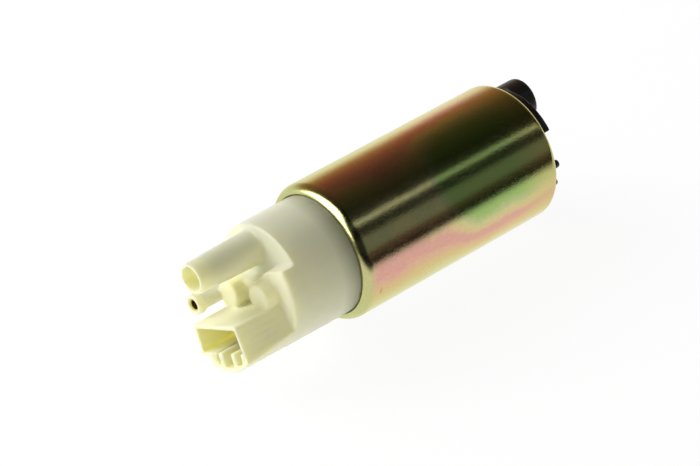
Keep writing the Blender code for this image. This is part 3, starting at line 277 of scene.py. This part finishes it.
class Nodes:
    """Shorthand for building one node tree."""

    def __init__(self, tree):
        self.tree = tree

    def add(self, kind, **settings):
        node = self.tree.nodes.new(kind)
        for name, value in settings.items():
            setattr(node, name, value)
        return node

    def link(self, source, target):
        self.tree.links.new(source, target)

    def math(self, operation, first, second=0.0, third=None):
        node = self.tree.nodes.new("ShaderNodeMath")
        node.operation = operation
        for slot, value in enumerate((first, second, third)):
            if value is None:
                continue
            if isinstance(value, (int, float)):
                node.inputs[slot].default_value = value
            else:
                self.link(value, node.inputs[slot])
        return node.outputs[0]

    def ramp(self, factor, stops):
        """Colour ramp with (position, colour) stops."""
        node = self.tree.nodes.new("ShaderNodeValToRGB")
        elements = node.color_ramp.elements
        while len(elements) < len(stops):
            elements.new(1.0)
        for element, (position, colour) in zip(elements, stops):
            element.position = position
            element.color = (*colour, 1.0)
        self.link(factor, node.inputs["Fac"])
        return node.outputs["Color"]

    def mix(self, factor, first, second, blend="MIX"):
        node = self.tree.nodes.new("ShaderNodeMix")
        node.data_type = "RGBA"
        node.blend_type = blend
        sockets = {"Factor": factor, "A": first, "B": second}
        for socket in node.inputs:
            if socket.enabled and socket.name in sockets:
                value = sockets[socket.name]
                if isinstance(value, (int, float)):
                    socket.default_value = value
                elif isinstance(value, tuple):
                    socket.default_value = (*value, 1.0)
                else:
                    self.link(value, socket)
        return next(s for s in node.outputs if s.enabled)

    def noise(self, coordinates, scale, detail=2.0, roughness=0.5):
        node = self.tree.nodes.new("ShaderNodeTexNoise")
        node.inputs["Scale"].default_value = scale
        node.inputs["Detail"].default_value = detail
        node.inputs["Roughness"].default_value = roughness
        self.link(coordinates, node.inputs["Vector"])
        return node.outputs["Fac"]

    def bump(self, height, distance, strength=1.0, normal=None):
        node = self.tree.nodes.new("ShaderNodeBump")
        node.inputs["Distance"].default_value = distance
        node.inputs["Strength"].default_value = strength
        self.link(height, node.inputs["Height"])
        if normal is not None:
            self.link(normal, node.inputs["Normal"])
        return node.outputs["Normal"]

    def between(self, value, start, end):
        """0 at the start, 1 at the end and even in between."""
        share = self.math("DIVIDE", self.math("SUBTRACT", value, start), end - start)
        return self.math("MINIMUM", self.math("MAXIMUM", share, 0.0), 1.0)

    def wander(self, noise, reach):
        """A noise of 0 to 1 turned into a shift of half the reach either way."""
        return self.math("MULTIPLY_ADD", noise, reach, -reach / 2)

    def along(self, first, first_share, second, second_share):
        """Sum of two values, each times its share."""
        return self.math("ADD", self.math("MULTIPLY", first, first_share),
                         self.math("MULTIPLY", second, second_share))

    def place(self):
        """Position on the piece in metres, and its three parts."""
        position = self.tree.nodes.new("ShaderNodeTexCoord").outputs["Object"]
        parts = self.tree.nodes.new("ShaderNodeSeparateXYZ")
        self.link(position, parts.inputs[0])
        return position, parts.outputs


def new_material(name, metallic=0.0, roughness=0.4):
    material = bpy.data.materials.new(name)
    material.use_nodes = True
    shader = material.node_tree.nodes["Principled BSDF"]
    shader.inputs["Metallic"].default_value = metallic
    shader.inputs["Roughness"].default_value = roughness
    return material, Nodes(material.node_tree), shader


def scuffed(tree, position, hue):
    """Lay the one small brown scuff near the can's outlet end over the plating."""
    offset = tree.add("ShaderNodeVectorMath", operation="SUBTRACT")
    tree.link(position, offset.inputs[0])
    offset.inputs[1].default_value = SCUFF_AT
    scaled = tree.add("ShaderNodeVectorMath", operation="DIVIDE")
    tree.link(offset.outputs["Vector"], scaled.inputs[0])
    scaled.inputs[1].default_value = SCUFF_SIZE
    length = tree.add("ShaderNodeVectorMath", operation="LENGTH")
    tree.link(scaled.outputs["Vector"], length.inputs[0])
    ragged = tree.wander(tree.noise(position, SCUFF_RAGGED_SCALE), SCUFF_RAGGED)
    distance = tree.math("ADD", length.outputs["Value"], ragged)
    share = tree.math("MULTIPLY", tree.between(distance, 1.0, 0.5), SCUFF_SHARE)
    return tree.mix(share, hue, SCUFF_BROWN)


def zinc_chromate():
    """Yellow zinc plating, whose clear skin tints it gold, rose and green in bands."""
    material, tree, shader = new_material("zinc_chromate", metallic=1.0)
    shader.inputs["Specular Tint"].default_value = (*GRAZING_TINT, 1.0)
    position, (x, y, z) = tree.place()
    middle = math.radians(BAND_MIDDLE_DEG)
    across = tree.along(y, -math.cos(middle), z, math.sin(middle))
    over = tree.along(y, math.sin(middle), z, math.cos(middle))
    lean = tree.math("MULTIPLY", tree.math("MAXIMUM", over, 0.0), BAND_LEAN / can_radius())
    band = tree.math("ABSOLUTE", tree.math("DIVIDE", across, can_radius()))
    widening = tree.math("MULTIPLY_ADD", tree.between(x, BAND_START, BAND_END),
                         BAND_WIDE - BAND_NARROW, BAND_NARROW)
    band = tree.math("MULTIPLY_ADD", band, widening, lean)
    drift = tree.noise(position, DRIFT_SCALE)
    band = tree.math("ADD", band, tree.wander(drift, BAND_DRIFT))
    blotch = tree.noise(position, BLOTCH_SCALE)
    band = tree.math("ADD", band, tree.wander(blotch, BLOTCH_DRIFT))
    stops = tuple((place / BAND_RANGE, colour) for place, colour in BAND_STOPS)
    hue = tree.ramp(tree.math("DIVIDE", band, BAND_RANGE), stops)
    gilt = tree.math("MULTIPLY", tree.between(x, GOLD_START, GOLD_END), GOLD_SHARE)
    hue = tree.mix(gilt, hue, GOLD)
    ragged = tree.math("ADD", x, tree.wander(drift, ROLL_DRIFT))
    plain = tree.math("MULTIPLY", tree.between(ragged, ROLL_END, ROLL_START), ROLL_SHARE)
    hue = tree.mix(plain, hue, ROLL_GOLD)
    speckle = tree.noise(position, SPECKLE_SCALE, 2.0, 0.6)
    hue = tree.mix(1.0, hue, tree.ramp(speckle, SPECKLE_STOPS), "MULTIPLY")
    tree.link(scuffed(tree, position, hue), shader.inputs["Base Color"])
    dull = tree.noise(position, DULL_SCALE, 3.0, 0.6)
    sheen = tree.math("MULTIPLY_ADD", dull, DULL_RANGE, SHEEN_LEAST)
    specks = tree.between(speckle, SPECK_START, SPECK_END)      # crystals that scatter the light
    rough = tree.math("MULTIPLY_ADD", specks, SPECK_ROUGHNESS, sheen)
    tree.link(rough, shader.inputs["Roughness"])
    bent = tree.bump(tree.noise(position, WAVE_SCALE, 1.0), WAVE_DEPTH)
    peel = tree.noise(position, PEEL_SCALE, 2.0, 0.55)
    tree.link(tree.bump(peel, PEEL_DEPTH, normal=bent), shader.inputs["Normal"])
    return material


def acetal():
    """Cream moulded acetal: light sinks in and spreads, so that thin walls glow, and their tone is
    also painted brighter and yellower as a painted glow.
    """
    material, tree, shader = new_material("cream_acetal", roughness=0.42)
    position, (x, _y, _z) = tree.place()
    cloud = tree.noise(position, ACETAL_CLOUD_SCALE, 3.0)
    # painted glow: the thin walls' tone is brighter and yellower than the drum's
    thick, thin = tree.ramp(cloud, ACETAL_THICK), tree.ramp(cloud, ACETAL_THIN_PAINTED_GLOW)
    tone = tree.mix(tree.between(x, DRUM_END, SPOUT_START), thick, thin)
    # painted shade: the drum's colour is darkened towards the can's lip
    collar = tree.between(x, COLLAR_START, COLLAR_END)
    shade = tree.ramp(collar, ((0.0, WHITE), (1.0, COLLAR_PAINTED_SHADE)))
    tree.link(tree.mix(1.0, tone, shade, "MULTIPLY"), shader.inputs["Base Color"])
    grain = tree.noise(position, ACETAL_GRAIN_SCALE, 3.0, 0.6)
    rough = tree.math("MULTIPLY_ADD", grain, ACETAL_ROUGHNESS_RANGE, ACETAL_ROUGHNESS_LEAST)
    tree.link(rough, shader.inputs["Roughness"])
    skin = tree.bump(grain, ACETAL_GRAIN_DEPTH, ACETAL_GRAIN_STRENGTH)
    tree.link(skin, shader.inputs["Normal"])
    shader.inputs["Subsurface Weight"].default_value = ACETAL_SPREAD_SHARE
    shader.inputs["Subsurface Radius"].default_value = ACETAL_SPREAD
    shader.inputs["Subsurface Scale"].default_value = ACETAL_DEPTH
    shader.inputs["IOR"].default_value = ACETAL_IOR
    return material


def plastic(name, low, high, roughness, grain_scale=PLASTIC_GRAIN_SCALE):
    """Plain moulded or pressed material: two close tones, a fine grain and an uneven sheen."""
    material, tree, shader = new_material(name)
    position, _parts = tree.place()
    cloud = tree.noise(position, PLASTIC_CLOUD_SCALE, 3.0, 0.55)
    tree.link(tree.ramp(cloud, ((0.3, low), (0.7, high))), shader.inputs["Base Color"])
    grain = tree.noise(position, grain_scale, 3.0, 0.6)
    least = roughness - PLASTIC_ROUGHNESS_RANGE / 2
    rough = tree.math("MULTIPLY_ADD", grain, PLASTIC_ROUGHNESS_RANGE, least)
    tree.link(rough, shader.inputs["Roughness"])
    skin = tree.bump(grain, PLASTIC_GRAIN_DEPTH, PLASTIC_GRAIN_STRENGTH)
    tree.link(skin, shader.inputs["Normal"])
    return material


def metal(name, low, high, roughness, stretch=(1.0, 1.0, 1.0), scale=METAL_MARK_SCALE):
    """Bare metal: two close tones and fine marks that run the way the piece was worked."""
    material, tree, shader = new_material(name, metallic=1.0)
    position, _parts = tree.place()
    mapping = tree.add("ShaderNodeMapping")
    mapping.inputs["Scale"].default_value = stretch
    tree.link(position, mapping.inputs["Vector"])
    marks = tree.noise(mapping.outputs["Vector"], scale, 3.0, 0.6)
    tree.link(tree.ramp(marks, ((0.35, low), (0.65, high))), shader.inputs["Base Color"])
    least = roughness - METAL_ROUGHNESS_DROP
    rough = tree.math("MULTIPLY_ADD", marks, METAL_ROUGHNESS_RANGE, least)
    tree.link(rough, shader.inputs["Roughness"])
    skin = tree.bump(marks, METAL_MARK_DEPTH, METAL_MARK_STRENGTH)
    tree.link(skin, shader.inputs["Normal"])
    return material


def make_materials():
    """One finish for each of the record's material slots."""
    return {
        "zinc_chromate": zinc_chromate(),
        "cream_acetal": acetal(),
        "black_plastic": plastic(
            "black_plastic", (0.008, 0.007, 0.007), (0.014, 0.012, 0.012), 0.38),
        "grey_plastic": plastic("grey_plastic", (0.18, 0.18, 0.18), (0.24, 0.24, 0.24), 0.5),
        "nylon": plastic("nylon", (0.72, 0.70, 0.60), (0.80, 0.78, 0.68), 0.45),
        "rubber": plastic("rubber", (0.015, 0.015, 0.015), (0.025, 0.025, 0.025), 0.7),
        "carbon": plastic("carbon", (0.03, 0.03, 0.033), (0.06, 0.06, 0.065), 0.6, 3000.0),
        "ferrite": plastic("ferrite", (0.06, 0.06, 0.065), (0.11, 0.11, 0.12), 0.7, 2200.0),
        "steel": metal("steel", (0.50, 0.50, 0.52), (0.64, 0.64, 0.66), 0.28, (0.1, 1.0, 1.0)),
        "laminations": metal(
            "laminations", (0.25, 0.25, 0.27), (0.42, 0.42, 0.44), 0.42, (3.0, 0.2, 0.2)),
        "copper": metal("copper", (0.72, 0.34, 0.18), (0.85, 0.46, 0.28), 0.3),
        "brass": metal("brass", (0.55, 0.40, 0.15), (0.74, 0.57, 0.25), 0.32, (0.2, 1.0, 1.0)),
        "bronze": metal("bronze", (0.40, 0.28, 0.15), (0.55, 0.40, 0.24), 0.5, scale=2500.0),
    }


def dress_nodes(materials):
    """Give every carried-over solid the finish of its slot."""
    for part in frame["record"]["subparts"]:
        node = nodes[part["node"]]
        node.data.materials.clear()
        node.data.materials.append(materials[part["material_slot"]])


def link_piece(name, mesh, material):
    piece = bpy.data.objects.new(name, mesh)
    bpy.context.scene.collection.objects.link(piece)
    mesh.materials.clear()
    mesh.materials.append(material)
    return piece


def can_radius():
    """The can's radius, which is that of the farthest corner of its faceted solid."""
    corners = nodes["can"].data.vertices
    return max(math.hypot(v.co.y, v.co.z) for v in corners)


def lip_angle(centre_radius, radius):
    """Degrees round a rolled edge at which it reaches the lip."""
    if LIP_RADIUS <= centre_radius:
        return 180.0
    return 180.0 - math.degrees(math.asin((LIP_RADIUS - centre_radius) / radius))


def rolled_edge(centre_radius, radius):
    """Points (x, distance from the axis) from the lip round to the can's side."""
    start_deg, end_deg = lip_angle(centre_radius, radius), 90.0
    points = []
    for i in range(ROLL_STEPS + 1):
        angle = math.radians(start_deg + (end_deg - start_deg) * i / ROLL_STEPS)
        points.append((radius * math.cos(angle), centre_radius + radius * math.sin(angle)))
    points[0] = (points[0][0], LIP_RADIUS)
    return points


def can_profile():
    """Half section of the can: outer skin from lip to lip, then back along the inside."""
    low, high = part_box("can")
    profile = []
    for depth in (0.0, CAN_WALL):
        run = []
        for edge, roll, side in ((low[0], OUTLET_ROLL, 1.0), (high[0], INLET_ROLL, -1.0)):
            arc = rolled_edge(can_radius() - roll, roll - depth)
            points = [(edge + side * roll + side * along, up) for along, up in arc]
            run += points if side > 0.0 else points[::-1]
        profile += run if depth == 0.0 else run[::-1]
    return profile


def ordered_faces(work):
    """Corners of each face, in an order that is the same on every run. A spin's own is not."""
    work.verts.index_update()
    faces = []
    for face in work.faces:
        corners = [vertex.index for vertex in face.verts]
        first = corners.index(min(corners))
        faces.append(corners[first:] + corners[:first])
    return sorted(faces)


def make_can(material):
    work = bmesh.new()
    verts = [work.verts.new((x, 0.0, radius)) for x, radius in can_profile()]
    edges = [work.edges.new((verts[i - 1], verts[i])) for i in range(len(verts))]
    bmesh.ops.spin(work, geom=verts + edges, cent=(0.0, 0.0, 0.0), axis=(1.0, 0.0, 0.0),
                   angle=math.tau, steps=CAN_TURN_STEPS, use_merge=True)
    bmesh.ops.recalc_face_normals(work, faces=work.faces)
    mesh = bpy.data.meshes.new("can_shell")
    mesh.from_pydata([tuple(v.co) for v in work.verts], [], ordered_faces(work))
    work.free()
    mesh.shade_smooth()
    piece = link_piece("can_shell", mesh, material)
    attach(piece, "housing")
    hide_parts("can")


def round_drum(mesh):
    """Move the drum's skin from its flats out to the cone that they stand for."""
    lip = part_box("can")[0][0]
    for vertex in mesh.vertices:
        x, y, z = vertex.co
        depth = (lip - x) / DRUM_LENGTH
        radius = math.hypot(y, z)
        cone = DRUM_RADIUS - DRUM_DRAFT * depth
        share = (OFF_DRUM - abs(radius - cone)) / (OFF_DRUM - NEAR_DRUM)
        if 0.0 < depth < 1.0 and share > 0.0:
            stretch = 1.0 + (cone / radius - 1.0) * min(1.0, share)
            vertex.co = (x, y * stretch, z * stretch)


def make_moulding(node, name, voxel, slot, materials):
    """A moulded copy of a solid, with the small radii that a mould leaves on every edge."""
    mesh = nodes[node].data.copy()
    piece = link_piece(name, mesh, materials[slot])
    work = bmesh.new()
    work.from_mesh(mesh)
    bmesh.ops.remove_doubles(work, verts=work.verts, dist=WELD_DISTANCE)
    work.to_mesh(mesh)
    work.free()
    remesh = piece.modifiers.new("remesh", "REMESH")
    remesh.mode = "VOXEL"
    remesh.voxel_size = voxel
    soften = piece.modifiers.new("soften", "SMOOTH")
    soften.factor = MOULD_SOFTENING
    soften.iterations = MOULD_SMOOTHING
    thin = piece.modifiers.new("thin", "DECIMATE")
    thin.ratio = MOULD_KEEP
    graph = bpy.context.evaluated_depsgraph_get()
    fine = bpy.data.meshes.new_from_object(piece.evaluated_get(graph))
    piece.modifiers.clear()
    piece.data = fine
    fine.name = name
    if node == "outlet_cap":
        round_drum(fine)
    fine.shade_smooth()
    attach(piece, "housing")
    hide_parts(node)


def soft_copy(node, name, materials):
    """A copy of a springy solid, with the finish of its slot."""
    parts = frame["record"]["subparts"]
    slot = next(part["material_slot"] for part in parts if part["node"] == node)
    piece = link_piece(name, nodes[node].data.copy(), materials[slot])
    piece.data.shade_smooth()
    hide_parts(node)
    return piece


def make_leads(materials):
    """Copies of the brush leads, which run between the cap and the brush."""
    for node, (brush, start, end) in LEADS.items():
        piece = soft_copy(node, node + "_wire", materials)
        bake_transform(piece)


def make_springs(materials):
    """Copies of the springs, hung on the housing."""
    for node, (joint, travel) in SPRINGS.items():
        piece = soft_copy(node, node + "_coil", materials)
        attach(piece, "housing")
        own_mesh(piece)


def make_floor():
    """The white table, which falls into shade where the can's metal mirrors it."""
    mesh = bpy.data.meshes.new("floor")
    work = bmesh.new()
    bmesh.ops.create_grid(work, x_segments=1, y_segments=1, size=FLOOR_HALF)
    work.to_mesh(mesh)
    work.free()
    material = bpy.data.materials.new("white_table")
    material.use_nodes = True
    tree = Nodes(material.node_tree)
    shader = material.node_tree.nodes["Principled BSDF"]
    shader.inputs["Base Color"].default_value = (*TABLE_COLOUR, 1.0)
    shader.inputs["Roughness"].default_value = TABLE_ROUGHNESS
    shader.inputs["Specular IOR Level"].default_value = TABLE_SPECULAR
    path = tree.add("ShaderNodeLightPath").outputs
    _position, (x, y, _z) = tree.place()
    sideways = tree.math("MAXIMUM", tree.between(x, SIDE_SHADE_START, SIDE_SHADE_END),
                         tree.between(y, BEHIND_START, BEHIND_END))
    towards_camera = tree.between(y, TABLE_SHADE_START, TABLE_SHADE_END)
    lit = tree.math("MAXIMUM", tree.math("MULTIPLY", towards_camera, sideways), TABLE_SHADE)
    seen = tree.math("MULTIPLY", path["Is Camera Ray"], TABLE_WHITE)
    glow = tree.math("ADD", seen, tree.math("MULTIPLY", path["Is Glossy Ray"], lit))
    white = tree.add("ShaderNodeEmission")
    tree.link(glow, white.inputs["Strength"])
    # the camera sees mostly white with a faint shadow, metal only the glow, and matt pieces both
    plain = tree.math("ADD", tree.math("MULTIPLY", path["Is Camera Ray"], TABLE_PLAIN),
                      path["Is Glossy Ray"])
    mixed = tree.add("ShaderNodeMixShader")
    tree.link(plain, mixed.inputs["Fac"])
    tree.link(shader.outputs[0], mixed.inputs[1])
    tree.link(white.outputs[0], mixed.inputs[2])
    both = tree.add("ShaderNodeAddShader")
    extra = tree.add("ShaderNodeEmission")
    tree.link(tree.math("MULTIPLY", path["Is Diffuse Ray"], TABLE_GLOW), extra.inputs["Strength"])
    tree.link(mixed.outputs[0], both.inputs[0])
    tree.link(extra.outputs[0], both.inputs[1])
    output = material.node_tree.nodes["Material Output"]
    tree.link(both.outputs[0], output.inputs["Surface"])
    floor = link_piece("floor", mesh, material)
    floor.location.z = -can_radius()


def add_key_lamp():
    data = bpy.data.lights.new("key", "AREA")
    data.shape = "RECTANGLE"
    data.size = data.size_y = KEY_LAMP_SIZE
    data.energy = KEY_LAMP_POWER
    lamp = bpy.data.objects.new("key", data)
    bpy.context.scene.collection.objects.link(lamp)
    towards = Vector(KEY_LAMP_FROM).normalized()
    lamp.location = towards * KEY_LAMP_DISTANCE
    lamp.rotation_euler = towards.to_track_quat("Z", "Y").to_euler()
    lamp.visible_glossy = False


def add_spout_lamp():
    data = bpy.data.lights.new("spout_lamp", "SPOT")
    data.spot_size = math.radians(SPOUT_LAMP_DEG)
    data.spot_blend = 1.0
    data.energy = SPOUT_LAMP_POWER
    data.color = SPOUT_LAMP_COLOUR
    data.shadow_soft_size = SPOUT_LAMP_SIZE
    lamp = bpy.data.objects.new("spout_lamp", data)
    bpy.context.scene.collection.objects.link(lamp)
    lamp.location = SPOUT_LAMP_AT
    towards = Vector(SPOUT_LAMP_AT) - Vector(SPOUT_LAMP_AIM)
    lamp.rotation_euler = towards.to_track_quat("Z", "Y").to_euler()
    lamp.visible_glossy = False


def add_world():
    """White for the camera, a plain sky for matt pieces, and for metal a dim room with a window."""
    world = bpy.data.worlds.new("studio")
    bpy.context.scene.world = world
    world.use_nodes = True
    tree = Nodes(world.node_tree)
    world.node_tree.nodes.clear()
    parts = tree.add("ShaderNodeSeparateXYZ")
    tree.link(tree.add("ShaderNodeTexCoord").outputs["Generated"], parts.inputs[0])
    x, y, z = parts.outputs
    angle = tree.math("ARCTAN2", z, tree.math("MULTIPLY", y, -1.0))
    turn = tree.math("DIVIDE", angle, math.pi)
    path = tree.add("ShaderNodeLightPath").outputs
    side = tree.math("MAXIMUM", tree.math("MULTIPLY", x, -OUTLET_LIGHT),
                     tree.math("MULTIPLY", x, INLET_LIGHT))
    sky = tree.mix(1.0, tree.ramp(turn, SKY_STOPS), side, "ADD")
    window = tree.math("MULTIPLY", tree.between(x, WINDOW_X, WINDOW_X - WINDOW_BLUR),
                       tree.between(y, WINDOW_Y, WINDOW_Y + WINDOW_BLUR))
    lit = tree.math("MAXIMUM", tree.between(x, FRONT_X, FRONT_X + FRONT_BLUR),
                    tree.between(y, -FRONT_BLUR / 2, 0.0))
    corner = tree.math("MULTIPLY_ADD", lit, 1.0 - FRONT_DARK, FRONT_DARK)
    room = tree.mix(1.0, tree.ramp(turn, ROOM_STOPS), corner, "MULTIPLY")
    room = tree.mix(window, room, (WINDOW_WHITE, WINDOW_WHITE, WINDOW_WHITE))
    soft = tree.mix(path["Is Glossy Ray"], sky, room)
    seen = tree.mix(path["Is Camera Ray"], soft, WHITE)
    background = tree.add("ShaderNodeBackground")
    tree.link(seen, background.inputs["Color"])
    output = tree.add("ShaderNodeOutputWorld")
    tree.link(background.outputs[0], output.inputs["Surface"])


add_camera()
finishes = make_materials()
dress_nodes(finishes)
make_can(finishes["zinc_chromate"])
make_moulding("outlet_cap", "cap_moulding", CAP_VOXEL, "cream_acetal", finishes)
make_moulding("inlet_cover", "cover_moulding", COVER_VOXEL, "black_plastic", finishes)
make_springs(finishes)
make_leads(finishes)
make_floor()
add_key_lamp()
add_spout_lamp()
add_world()
bpy.context.scene.view_settings.view_transform = "Standard"
